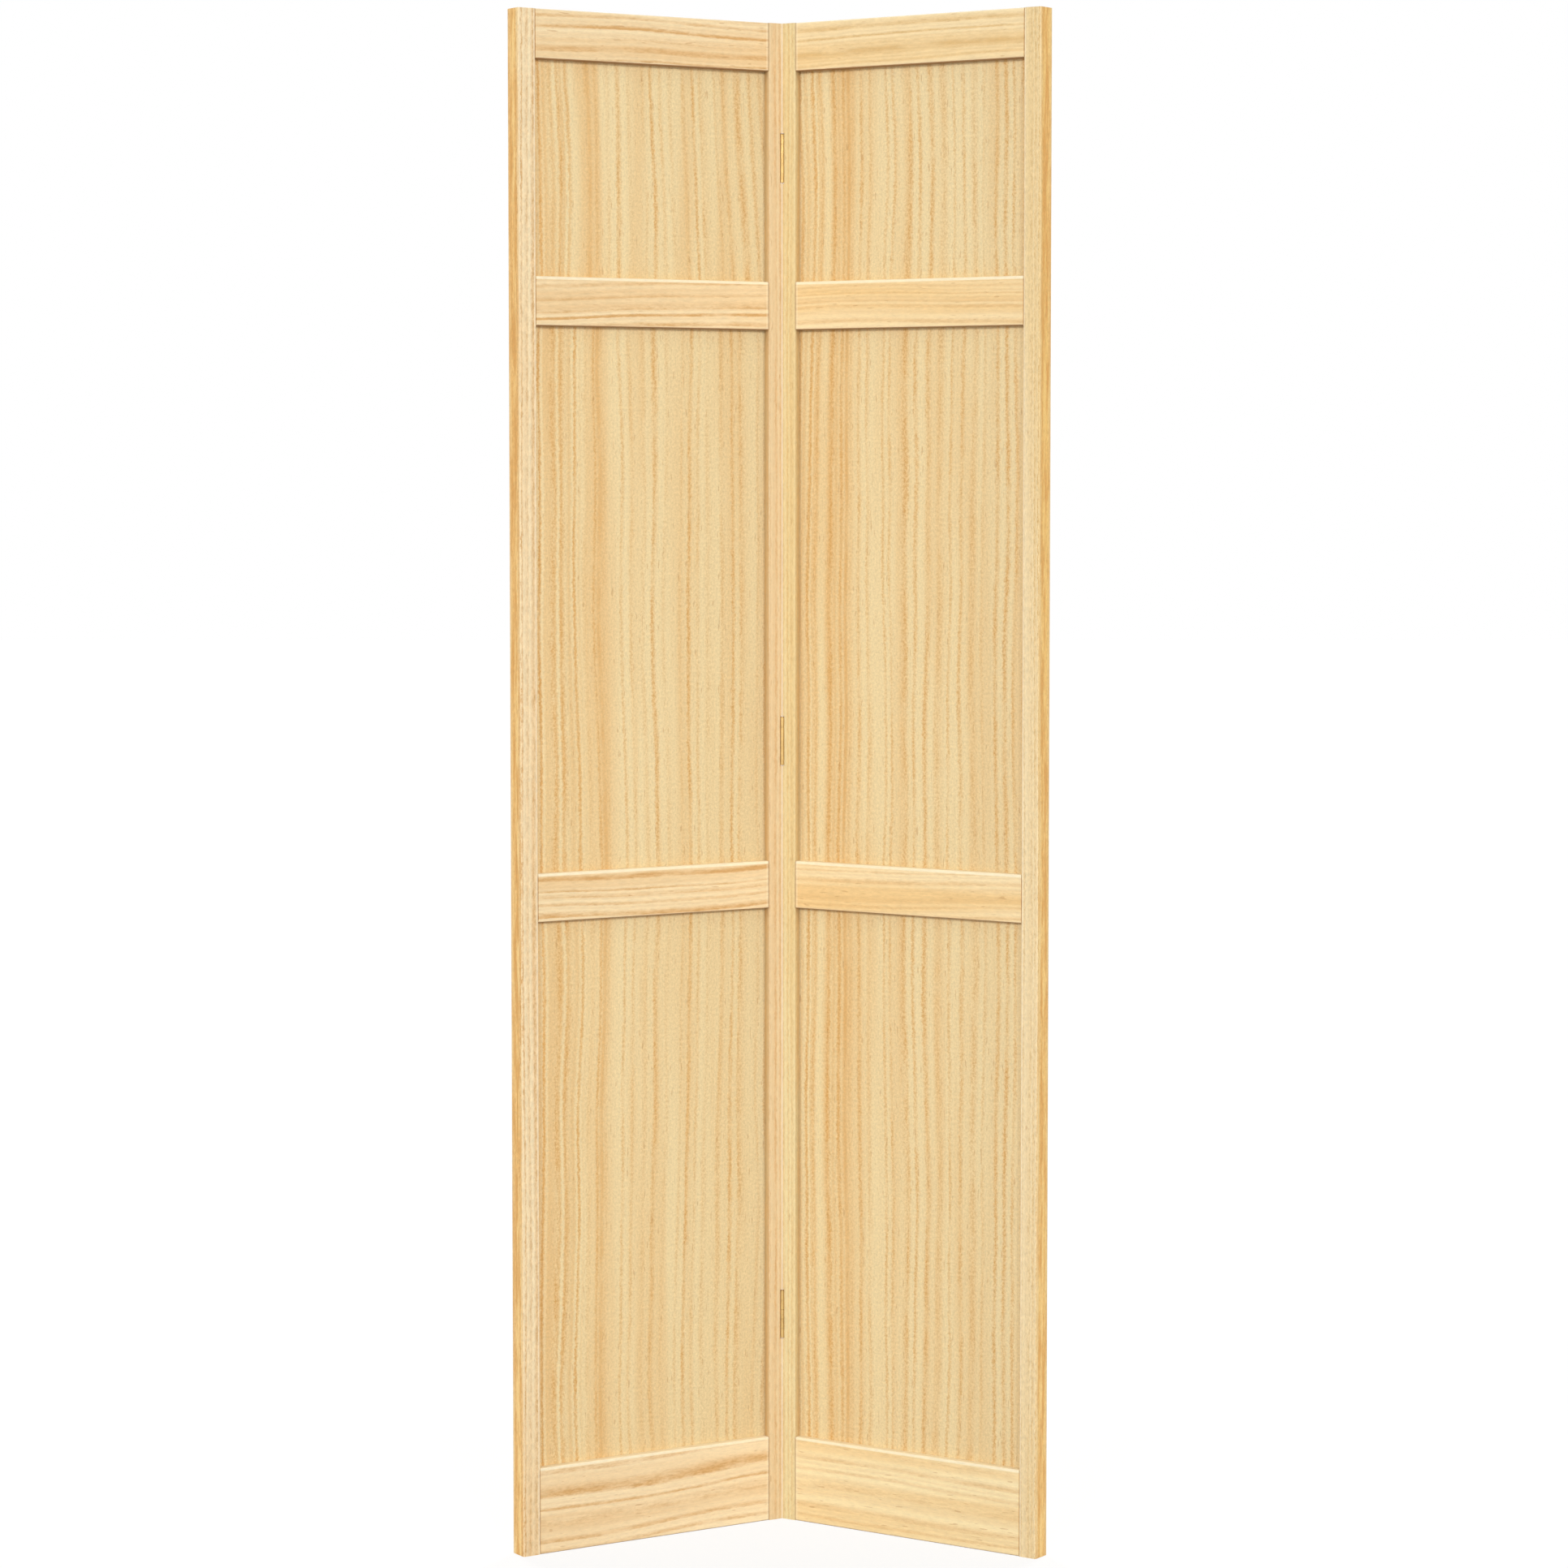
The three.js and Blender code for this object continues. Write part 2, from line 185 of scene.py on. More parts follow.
def new_group(name, inputs, outputs):
    """An empty node group with the inputs and outputs given, and the sockets of its two ends."""
    kinds = {"vector": "NodeSocketVector", "number": "NodeSocketFloat", "colour": "NodeSocketColor"}
    tree = bpy.data.node_groups.new(name, "ShaderNodeTree")
    for label, kind in inputs.items():
        tree.interface.new_socket(label, in_out="INPUT", socket_type=kinds[kind])
    for label, kind in outputs.items():
        tree.interface.new_socket(label, in_out="OUTPUT", socket_type=kinds[kind])
    return tree, tree.nodes.new("NodeGroupInput").outputs, tree.nodes.new("NodeGroupOutput").inputs


# Pine

# The numbers of a board. Lengths are in metres, and strengths go from 0 to about 1.
CUT = (
    "Ring",            # width of a growth ring
    "Heart across",    # where the heart of the tree lies: across the face, from the board's middle
    "Heart deep",      # and through the thickness, from the board's middle
    "Lean",            # slant of the grain, across for each metre along
    "Drift",           # how far the grain wanders along the board
    "Ragged",          # how far the lines fray over a few millimetres
    "Line",            # share of a ring over which its line darkens
    "Line end",        # share of a ring over which its line fades out again
    "Lines",           # strength of the lines of late wood
    "Bands",           # strength of the broad warm bands
    "Streaks",         # strength of the close fine streaks
    "Streaks across",  # where across the face the streaks are strongest
    "Warm across",     # where across the face the warmest band is
    "Heavy",           # strength of the heavy line in the warmest band
    "Speckle",         # strength of the mottling
    "Mottled along",   # how short the mottling is along the grain: 1 is about as short as across it
    "Edge",            # how much of the edge wood's tone the narrow edges and the end grain take
    "Vein",            # strength of the veins there
    "Half width",      # from the board's middle to its edge
    "Half length",     # from the board's middle to its end
    "End way",         # which end has the joint and the shade, 1 or -1
    "Pale way",        # which edge has the pale band, 1 or -1
    "Pale band",       # width of the pale band, a painted highlight along that edge and its arris
    "Pale",            # strength of the pale band's painted highlight
    "Rounding highlight",      # strength of the painted highlight on the rounded arrises, which the lamps light as well
    "Foot shade",       # painted shade on the underside, which faces away from the lamps
    "Shade",           # strength of the painted shade at the end, over the real shadow there
    "Side shade",      # strength of the painted shade along the edge across from the pale band's
    "Darker across",   # how much darker the board gets for each metre across
    "Joint line and highlight",           # strength of the painted highlight on the arris at the end, and of the dark joint line there
    "Seed",            # sets the board apart from others
)
# The colours of a board: spring wood, the lines that end the rings, the broad bands, what edges and end
# grain are multiplied by (on the hinge stiles with painted shade in it), and the painted highlight of the
# pale band and arrises
TONES = ("Early wood", "Late wood", "Warm wood", "Edge wood and wall shade", "Highlight colour")

# Waves per metre of each kind of noise: across the board, through it and along the grain
WANDER_WAVES = (4, 4, 1.5)
FRAY_WAVES = (170, 170, 160)
FADE_WAVES = (60, 60, 12)
MOTTLE_WAVES = (330, 330, 280)
BAND_WAVES = (30, 30, 1.2)
FIBRE_WAVES = (850, 850, 26)
CANAL_WAVES = (420, 420, 60)
VEIN_WAVES = (150, 150, 14)

# Between these values of a noise, a line or its mottling comes and goes
NOISE_STEP = (0.35, 0.6)

# Growth rings: waves per ring and strength of their unevenness, where in a ring its line is darkest, and how
# many of the close streaks go to a ring
UNEVEN_WAVES = (0.42, 1, 1)
UNEVENNESS = 2.4
DARKEST_PLACE = 0.75
STREAKS_PER_RING = 1.7

# Distances in metres: as strong as can be up to the first, and as weak as can be from the second.
# The panels reach 8 mm into their grooves, so their painted shades start there.
HEAVY_LINE = (0.0005, 0.0055)
WARMEST_BAND = (0.006, 0.026)
CLOSE_STREAKS = (0.025, 0.06)
EDGE_MIDDLE = (0.004, 0.0143)
# At a rail's end: a painted highlight on its arris, and the dark joint line
JOINT_HIGHLIGHT = (0.003, 0.0045)
JOINT_LINE = (0.0009, 0.002)
SHADE_UNDER_RAIL = (0.008, 0.0098)
SHADE_BESIDE_STILE = (0.0095, 0.0135)

CANAL_BROWN = paint(182, 128, 72)
VEIN_BROWN = paint(226, 168, 92)
SHADE_BROWN = paint(150, 104, 62)


def growth_rings(tree, given, mottled, shift):
    """Distance from the heart of the tree, counted in rings of uneven width. Also gives how far the grain
    wanders sideways, slowly along the board, and how far it frays, over a few millimetres."""
    board = given["Board"]
    across, deep, along = split(tree, board)[:3]
    slow = times(tree, centred(tree, noise(tree, board, WANDER_WAVES, shift), 1), given["Drift"])
    fray = centred(tree, noise(tree, mottled, FRAY_WAVES, shift, 4, 0.85), 1)
    fray = times(tree, fray, given["Ragged"])
    wander = plus(tree, slow, times(tree, along, given["Lean"]))
    side = plus(tree, less(tree, across, given["Heart across"]), wander)
    depth = less(tree, deep, given["Heart deep"])
    far = maths(tree, "SQRT", plus(tree, times(tree, side, side), times(tree, depth, depth)))
    rings = maths(tree, "DIVIDE", plus(tree, far, fray), given["Ring"])
    uneven = noise(tree, vector_of(tree, rings), UNEVEN_WAVES, shift, 1)
    return plus(tree, rings, times(tree, uneven, UNEVENNESS)), wander, fray


def late_wood(tree, given, rings, speckle, fade):
    """The line that ends each ring. No two are equally dark, and each fades and returns along the grain. Also
    gives how far a point lies from its ring's line, as a share of the ring, and the ring's own chance."""
    chance = tree.nodes.new("ShaderNodeTexWhiteNoise")
    chance.noise_dimensions = "1D"
    feed(tree, chance.inputs["W"], plus(tree, maths(tree, "FLOOR", rings), given["Seed"]))
    chance = chance.outputs["Value"]
    past = less(tree, maths(tree, "FRACT", rings), DARKEST_PLACE)
    darkens = ramp(tree, past, times(tree, given["Line"], -1), 0)
    ends = fading(tree, past, 0, given["Line end"])
    own = ramp(tree, chance, 0, 1, 0.4, 1.3, "LINEAR")
    returns = ramp(tree, fade, *NOISE_STEP, 0.35, 1.1)
    strongest = plus(tree, given["Speckle"], 1)
    faintest = less(tree, 1, times(tree, given["Speckle"], 1.5))
    mottling = ramp(tree, speckle, *NOISE_STEP, strongest, faintest)
    line = times(tree, darkens, ends, own, returns, given["Lines"], mottling)
    return line, without_sign(tree, past), chance


def close_streaks(tree, given, across, rings):
    """Fine streaks, close together in one part of the board and faint elsewhere."""
    streak = maths(tree, "FRACT", times(tree, rings, STREAKS_PER_RING))
    streak = times(tree, ramp(tree, streak, 0.1, 0.6), fading(tree, streak, 0.65, 1))
    away = without_sign(tree, less(tree, across, given["Streaks across"]))
    return times(tree, streak, fading(tree, away, *CLOSE_STREAKS, 1, 0.12), given["Streaks"])


def warm_bands(tree, given, shift, from_warmest, from_line, chance):
    """Broad warm bands at random, the warmest one at a place of its own, and a faint one along each line."""
    band = ramp(tree, noise(tree, given["Board"], BAND_WAVES, shift), 0.4, 0.68)
    band = times(tree, band, given["Bands"])
    warmest = times(tree, fading(tree, from_warmest, *WARMEST_BAND, 0.9), given["Bands"])
    beside = times(tree, fading(tree, from_line, 0.1, 0.5), chance, 0.4, given["Bands"])
    return at_most_one(tree, plus(tree, band, warmest, beside))


def edges_and_ends(tree, given, shift, deep, colour):
    """Narrow edges and end grain are stronger in colour, with veins; on the hinge stiles they are darker, a
    painted shade on the recess walls. Also gives how far the surface looks down, and how nearly it is square
    to one of the board's axes, as it isn't on an arris."""
    edge, face, end = split(tree, given["Facing"])[:3]
    below = ramp(tree, edge, -0.15, -0.6)
    narrow = larger(tree, without_sign(tree, edge), without_sign(tree, end))
    square = larger(tree, narrow, without_sign(tree, face))
    inner = fading(tree, without_sign(tree, deep), *EDGE_MIDDLE, 1, 0.4)
    stronger = times(tree, ramp(tree, narrow, 0.6, 0.97), given["Edge"], inner)
    colour = blend(tree, stronger, colour, given["Edge wood and wall shade"], "MULTIPLY")
    vein = ramp(tree, noise(tree, given["Board"], VEIN_WAVES, shift, 3, 0.65), 0.4, 0.62)
    colour = blend(tree, times(tree, vein, stronger, given["Vein"]), colour, VEIN_BROWN)
    return colour, below, square


def highlights_joints_and_shades(tree, given, across, along, below, square, colour):
    """Painted highlights on pale bands and arrises, dark joint lines, and painted shade on feet and beside
    neighbours.
    """
    from_highlight_edge = less(tree, given["Half width"], times(tree, across, given["Pale way"]))
    from_other_edge = plus(tree, given["Half width"], times(tree, across, given["Pale way"]))
    from_end = less(tree, given["Half length"], times(tree, along, given["End way"]))

    # Painted highlights: a pale band along one edge, the rounded arrises, and the arris at a rail's end
    band_start = times(tree, given["Pale band"], 0.7)
    highlight = ramp(tree, from_highlight_edge, band_start, given["Pale band"], given["Pale"], 0)
    highlight = larger(tree, highlight, times(tree, ramp(tree, square, 0.995, 0.9), given["Rounding highlight"]))
    highlight = larger(tree, highlight, times(tree, fading(tree, from_end, *JOINT_HIGHLIGHT, 0.6), given["Joint line and highlight"]))
    colour = blend(tree, highlight, colour, given["Highlight colour"])

    # A dark joint line, and painted shade on a foot, under a rail and beside an outer stile
    dark = times(tree, fading(tree, from_end, *JOINT_LINE), given["Joint line and highlight"])
    dark = larger(tree, dark, times(tree, below, given["Foot shade"]))
    under = times(tree, fading(tree, from_end, *SHADE_UNDER_RAIL), given["Shade"])
    beside = times(tree, fading(tree, from_other_edge, *SHADE_BESIDE_STILE), given["Side shade"])
    dark = larger(tree, dark, larger(tree, under, beside))
    return blend(tree, dark, colour, SHADE_BROWN)


def pine_group():
    """Clear pine, cut from a tree with growth rings. "Board" is a point in the board's own axes, in metres:
    x across its face, y through its thickness, z along the grain. "Facing" is the surface's direction in the
    same axes. What the other inputs mean is said beside CUT and TONES."""
    inputs = {"Board": "vector", "Facing": "vector"}
    inputs.update({label: "number" for label in CUT})
    inputs.update({label: "colour" for label in TONES})
    outputs = {"Colour": "colour", "Roughness": "number", "Height": "number"}
    tree, given, result = new_group("clear_pine", inputs, outputs)
    board = given["Board"]
    across, deep, along = split(tree, board)[:3]
    mottled = vector_of(tree, across, deep, times(tree, along, given["Mottled along"]))
    shift = vector_of(tree, given["Seed"], given["Seed"], given["Seed"])
    speckle = noise(tree, mottled, MOTTLE_WAVES, shift, 2, 0.8)
    fade = noise(tree, board, FADE_WAVES, shift, 4, 0.7)
    fibre = noise(tree, board, FIBRE_WAVES, shift, 2, 0.6)

    # Lines of late wood, with a heavy one in the warmest band, and the close streaks
    rings, wander, fray = growth_rings(tree, given, mottled, shift)
    late, from_line, chance = late_wood(tree, given, rings, speckle, fade)
    warm_place = plus(tree, across, wander, times(tree, fray, 0.4))
    from_warmest = without_sign(tree, less(tree, warm_place, given["Warm across"]))
    heavy = times(tree, fading(tree, from_warmest, *HEAVY_LINE), ramp(tree, fade, *NOISE_STEP, 0.5, 1))
    late = larger(tree, late, times(tree, heavy, given["Heavy"]))
    streak = close_streaks(tree, given, across, rings)

    # Warm bands under the lines, and over them the few short dashes that resin canals leave
    band = warm_bands(tree, given, shift, from_warmest, from_line, chance)
    canal = ramp(tree, noise(tree, board, CANAL_WAVES, shift, 0), 0.76, 0.84, 0, 0.35)
    colour = blend(tree, band, given["Early wood"], given["Warm wood"])
    colour = blend(tree, at_most_one(tree, plus(tree, late, streak)), colour, given["Late wood"])
    colour = blend(tree, canal, colour, CANAL_BROWN)
    colour, below, square = edges_and_ends(tree, given, shift, deep, colour)
    colour = highlights_joints_and_shades(tree, given, across, along, below, square, colour)

    # Fibres and mottling, and the board a little darker towards one edge
    grit = times(tree, centred(tree, speckle, 2), given["Speckle"])
    brightness = plus(tree, 1, centred(tree, fibre, 0.14), grit)
    brightness = less(tree, brightness, times(tree, across, given["Darker across"]))
    lit = tree.nodes.new("ShaderNodeVectorMath")
    lit.operation = "SCALE"
    feed(tree, lit.inputs[0], colour)
    feed(tree, lit.inputs["Scale"], brightness)
    feed(tree, result["Colour"], lit.outputs[0])

    # Late wood is a little smoother than early wood, and lies a little lower
    rough = ramp(tree, fibre, 0.25, 0.75, 0.5, 0.64, "LINEAR")
    feed(tree, result["Roughness"], less(tree, rough, times(tree, late, 0.1)))
    raised = plus(tree, times(tree, fibre, 0.6), times(tree, speckle, 0.6))
    feed(tree, result["Height"], less(tree, raised, times(tree, late, 0.5)))
    return tree


def board_frame(side, grain):
    """Turns the door's axes into a board's: x across its face, y through it, z along the grain."""
    turn = Matrix.Rotation(side * REST_TURN, 3, "Z")
    if grain == "level":
        turn = Matrix.Rotation(math.radians(90), 3, "Y") @ turn
    return turn


def board_coordinates(tree, turn, middle):
    """Where a point of the board lies, and which way the surface faces there, both in the board's axes."""
    place = tree.nodes.new("ShaderNodeTexCoord")
    spot = tree.nodes.new("ShaderNodeMapping")
    spot.inputs["Rotation"].default_value = turn.to_euler("XYZ")
    spot.inputs["Location"].default_value = -middle
    tree.links.new(place.outputs["Object"], spot.inputs["Vector"])
    facing = tree.nodes.new("ShaderNodeMapping")
    facing.vector_type = "VECTOR"
    facing.inputs["Rotation"].default_value = turn.to_euler("XYZ")
    tree.links.new(place.outputs["Normal"], facing.inputs["Vector"])
    return spot.outputs["Vector"], facing.outputs["Vector"]


def own_box(name, turn):
    """The lowest and highest corner of a board, in its own axes."""
    corners = [turn @ point.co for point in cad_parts[name].data.vertices]
    low = Vector([min(corner[axis] for corner in corners) for axis in range(3)])
    high = Vector([max(corner[axis] for corner in corners) for axis in range(3)])
    return low, high


def board_material(name, pine, side, grain, looks):
    """The material of one board: where it was cut from the tree, and its tones. A rail's joint is at the
    fold, and its pale band of painted highlight on top. The other boards have their painted highlight on the
    edge towards the fold."""
    material, tree, shader = new_material(f"{name}_pine")
    turn = board_frame(side, grain)
    low, high = own_box(name, turn)
    middle = (low + high) / 2
    half = (high - low) / 2
    end_way = side
    highlight_way = 1 if grain == "level" else -side
    if name.endswith("_panel"):
        # The panels of a leaf keep one measure of height, and their painted shade is under the rail above
        # them
        half.z = high.z
        middle.z = 0
        end_way = 1
    spot, facing = board_coordinates(tree, turn, middle)
    wood = tree.nodes.new("ShaderNodeGroup")
    wood.node_tree = pine
    tree.links.new(spot, wood.inputs["Board"])
    tree.links.new(facing, wood.inputs["Facing"])
    place = {"Half width": half.x, "Half length": half.z, "End way": end_way, "Pale way": highlight_way}
    for label, value in {**looks, **place}.items():
        wood.inputs[label].default_value = value
    tree.links.new(wood.outputs["Colour"], shader.inputs["Base Color"])
    tree.links.new(wood.outputs["Roughness"], shader.inputs["Roughness"])
    bumped(tree, shader, wood.outputs["Height"], strength=0.35, distance=0.0005)
    shader.inputs["Specular IOR Level"].default_value = 0.25
    return material


# For a board that has no warmest band
OFF_THE_BOARD = 1

STILE = {
    "Ring": 0.0058, "Heart across": 0.06, "Heart deep": 0.035, "Lean": 0, "Drift": 0.012, "Ragged": 0.006,
    "Line": 0.5, "Line end": 0.24, "Lines": 0.72, "Bands": 0.7, "Streaks": 0.2, "Streaks across": 0,
    "Warm across": OFF_THE_BOARD, "Heavy": 0, "Speckle": 0.26, "Mottled along": 0.5, "Edge": 1, "Vein": 0.9,
    "Pale band": 0.0034, "Pale": 0.42, "Rounding highlight": 0, "Foot shade": 0, "Shade": 0, "Side shade": 0,
    "Joint line and highlight": 0,
    "Early wood": paint(242, 222, 182), "Late wood": paint(212, 164, 104), "Warm wood": paint(234, 202, 154),
    "Edge wood and wall shade": paint(272, 254, 210), "Highlight colour": paint(252, 240, 212),
}
RAIL = {
    "Ring": 0.0118, "Heart across": 0.1, "Heart deep": 0.03, "Lean": 0.01, "Drift": 0.05, "Ragged": 0.003,
    "Line": 0.48, "Line end": 0.15, "Lines": 0.88, "Bands": 0.68, "Streaks": 0.2, "Streaks across": 0,
    "Warm across": OFF_THE_BOARD, "Heavy": 0, "Speckle": 0.14, "Mottled along": 0.3, "Edge": 0.4, "Vein": 0.4,
    "Pale band": 0.0045, "Pale": 0.85, "Rounding highlight": 0.8, "Foot shade": 0.85, "Shade": 0, "Side shade": 0,
    "Joint line and highlight": 0.45,
    "Early wood": paint(244, 221, 178), "Late wood": paint(214, 168, 108), "Warm wood": paint(234, 200, 149),
    "Edge wood and wall shade": paint(248, 232, 212), "Highlight colour": paint(252, 240, 208),
}
PANEL = {
    "Ring": 0.0155, "Heart across": 0.5, "Heart deep": 0.2, "Lean": 0, "Drift": 0.05, "Ragged": 0.0095,
    "Line": 0.38, "Line end": 0.25, "Lines": 0.64, "Bands": 0.58, "Streaks": 0.38, "Streaks across": -0.15,
    "Warm across": -0.1, "Heavy": 0.6, "Speckle": 0.27, "Mottled along": 1, "Edge": 0.4, "Vein": 0.4,
    "Pale band": 0, "Pale": 0, "Rounding highlight": 0.8, "Foot shade": 0, "Shade": 0.45, "Side shade": 0.08,
    "Joint line and highlight": 0,
    "Early wood": paint(233, 212, 165), "Late wood": paint(215, 166, 98), "Warm wood": paint(227, 195, 142),
    "Edge wood and wall shade": paint(248, 232, 212), "Highlight colour": paint(250, 232, 190),
}
GRAIN = {"stile": "upright", "rail": "level", "panel": "upright"}
LOOKS = {"stile": STILE, "rail": RAIL, "panel": PANEL}

# What sets single boards apart from the others of their kind
CREAMY = {
    "Lines": 0.32, "Bands": 0.6, "Heavy": 0.28, "Early wood": paint(247, 226, 182),
    "Warm wood": paint(240, 206, 148),
}
WIDE = {"Ring": 0.018, "Lines": 0.85, "Bands": 0.55, "Heart across": 0.16, "Drift": 0.08}
LEFT_PANEL = {"Streaks": 0.4, "Warm across": -0.074, "Darker across": 0.33}
# The right panels carry more painted shade beside their outer stiles
RIGHT_PANEL = {"Side shade": 0.3}
SINGLE = {
    # The hinge stiles' edge wood is darker: painted shade on the recess walls beside the panels, over the
    # edge grain's own tone. The left one's pale band is a painted highlight along the fold.
    "left_hinge_stile": {
        "Pale band": 0.0018, "Pale": 0.35, "Lines": 0.7, "Speckle": 0.12, "Vein": 0.3,
        "Early wood": paint(230, 206, 163), "Late wood": paint(216, 172, 118),
        "Edge wood and wall shade": paint(218, 208, 188), "Highlight colour": paint(246, 228, 188),
    },
    "right_hinge_stile": {
        "Pale band": 0, "Lines": 0.42, "Speckle": 0.16, "Vein": 0.3, "Early wood": paint(234, 219, 172),
        "Late wood": paint(217, 176, 114), "Warm wood": paint(231, 206, 150),
        "Edge wood and wall shade": paint(216, 208, 200), "Highlight colour": paint(236, 212, 150),
    },
    "right_outer_stile": {
        "Lines": 0.75, "Early wood": paint(239, 218, 175), "Late wood": paint(215, 174, 110),
        "Warm wood": paint(233, 206, 152),
    },
    "left_top_rail": {"Pale band": 0},
    "right_top_rail": {
        **CREAMY, "Bands": 0.5, "Pale band": 0, "Warm across": -0.011, "Heavy": 0.6,
        "Late wood": paint(206, 162, 92),
    },
    "right_upper_cross_rail": {**CREAMY, "Warm across": 0.001},
    "right_lower_cross_rail": {**CREAMY, "Warm across": -0.006},
    "right_bottom_rail": {
        **CREAMY, **WIDE, "Lines": 0.42, "Drift": 0.05, "Early wood": paint(249, 230, 184),
    },
    "left_bottom_rail": {**WIDE, "Early wood": paint(249, 228, 188)},
    "left_bottom_panel": LEFT_PANEL,
    "left_middle_panel": LEFT_PANEL,
    "left_top_panel": {**LEFT_PANEL, "Lean": 0.03, "Warm across": -0.04, "Bands": 0.8},
    "right_bottom_panel": RIGHT_PANEL,
    "right_middle_panel": RIGHT_PANEL,
    "right_top_panel": RIGHT_PANEL,
}

# Seeds: one for the panels of each leaf, and steps of one size for the other boards
PANEL_SEEDS = {"left": 30, "right": 50}
SEED_STEP = 1.7


def dress_boards(pine):
    """Each board comes from a place of its own in the tree, but the three panels of a leaf from one board."""
    for place, name in enumerate(sorted(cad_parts)):
        kind = name.split("_")[-1]
        leaf = name.split("_")[0]
        if kind in LOOKS:
            seed = PANEL_SEEDS[leaf] if kind == "panel" else place * SEED_STEP
            looks = {**LOOKS[kind], **SINGLE.get(name, {}), "Seed": seed}
            dress(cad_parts[name], board_material(name, pine, LEAVES[leaf], GRAIN[kind], looks))


# Dowels

BEECH_SHIFT = (3, 5, 7)
BEECH_FLECK_WAVES = (900, 900, 900)
BEECH_TONE_WAVES = (120, 120, 120)


def beech_material():
    """Plain turned beech: uneven in tone, with small darker flecks."""
    material, tree, shader = new_material("dowel_beech")
    place = tree.nodes.new("ShaderNodeTexCoord").outputs["Object"]
    fleck = ramp(tree, noise(tree, place, BEECH_FLECK_WAVES, BEECH_SHIFT, 1), 0.62, 0.72)
    tone = noise(tree, place, BEECH_TONE_WAVES, BEECH_SHIFT, 3, 0.6)
    colour = blend(tree, tone, paint(206, 168, 122), paint(232, 200, 156))
    colour = blend(tree, times(tree, fleck, 0.5), colour, paint(160, 112, 70))
    feed(tree, shader.inputs["Base Color"], colour)
    feed(tree, shader.inputs["Roughness"], ramp(tree, tone, 0.3, 0.7, 0.55, 0.72))
    bumped(tree, shader, tone, strength=0.3, distance=0.0002)
    return material


# Hinges and screws

BRASS_SHIFT = (11, 2, 5)
BRUSHED_WAVES = (2600, 2600, 90)
TARNISH_WAVES = (160, 160, 60)


def brass_material(name, bright, tarnished, roughness):
    """Satin brass: brushed along the hinge, a little darker and rougher where it has tarnished."""
    material, tree, shader = new_material(name)
    place = tree.nodes.new("ShaderNodeTexCoord").outputs["Object"]
    brushed = noise(tree, place, BRUSHED_WAVES, BRASS_SHIFT, 2, 0.6)
    cloud = noise(tree, place, TARNISH_WAVES, BRASS_SHIFT, 3, 0.6)
    feed(tree, shader.inputs["Base Color"], blend(tree, ramp(tree, cloud, 0.35, 0.7), bright, tarnished))
    rough = ramp(tree, cloud, 0.3, 0.7, roughness, roughness + 0.1)
    feed(tree, shader.inputs["Roughness"], plus(tree, rough, centred(tree, brushed, 0.2)))
    shader.inputs["Metallic"].default_value = 1
    bumped(tree, shader, brushed, strength=0.25, distance=0.00006)
    return material


# Sizes of a screw in metres, in the order of the tree's inputs
SCREW = {
    "Head diameter": 0.0052, "Head depth": 0.0012, "Shank diameter": 0.0027, "Length": 0.0094,
    "Tip length": 0.002, "Thread pitch": 0.0011, "Thread height": 0.00022, "Recess width": 0.0006,
    "Recess reach": 0.0030, "Recess depth": 0.0007,
}
HEAD_SIDES = 24
SHANK_SIDES = 16
THREAD_STEPS = 14
THREAD_SIDES = 4
SHANK_TAPER = 0.86
THREADED_SHARE = 0.92
TIP_RADIUS = 0.00005


